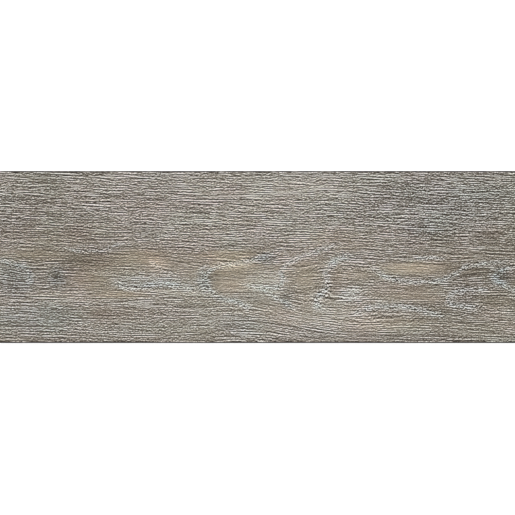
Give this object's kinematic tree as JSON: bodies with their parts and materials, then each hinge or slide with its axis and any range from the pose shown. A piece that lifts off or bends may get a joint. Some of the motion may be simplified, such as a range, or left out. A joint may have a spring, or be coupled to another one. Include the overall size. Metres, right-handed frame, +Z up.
{
  "type": "wood look porcelain plank tile",
  "caption": "Flat rectangular porcelain plank tile with an embossed grey-brown oak grain face, ground edges with a fine arris and a ribbed back for adhesive.",
  "frame": {"origin": "middle of the back, on the plane that beds on the adhesive or the floor", "axes": "+X along the plank, +Y across it, +Z up out of the glazed face"},
  "size_m": [0.6, 0.2, 0.009],
  "materials": {
    "glazed_face": "matt digital-printed glaze over an embossed oak grain, on an unglazed grey-beige porcelain body"
  },
  "bodies": {
    "root": {"plank_tile": "glazed_face"}
  },
  "joints": []
}
